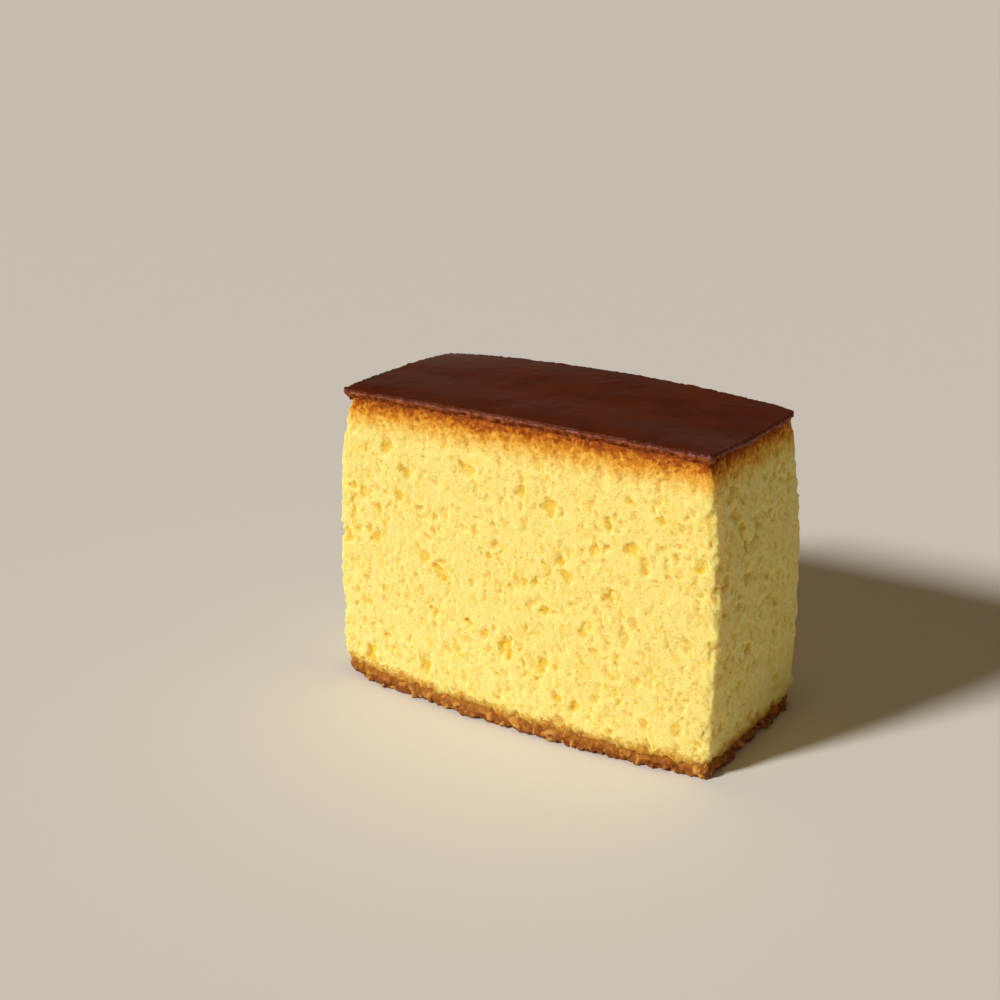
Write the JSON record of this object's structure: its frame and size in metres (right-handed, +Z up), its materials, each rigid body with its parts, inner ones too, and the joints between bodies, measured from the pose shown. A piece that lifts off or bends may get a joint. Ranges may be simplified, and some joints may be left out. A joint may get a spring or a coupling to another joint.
{
  "type": "castella sponge cake slice",
  "caption": "Upright rectangular slice of castella sponge cake: open yellow crumb on all cut sides, a thin domed dark-brown skin on top and a ragged brown crust along the base.",
  "frame": {"origin": "centre of the bounding box's underside, on the surface that the slice rests on", "axes": "+Z up through the baked top; X along the slice's long side; Y through its thickness, with -Y the front cut face"},
  "size_m": [0.0738, 0.0374, 0.0535],
  "materials": {
    "crumb": "matte open sponge crumb, pale egg yellow",
    "top_skin": "smooth satin baked skin, dark reddish brown",
    "bottom_crust": "rough sugary bottom crust, toasted brown"
  },
  "bodies": {
    "root": {"castella_slice": "crumb"}
  },
  "joints": []
}
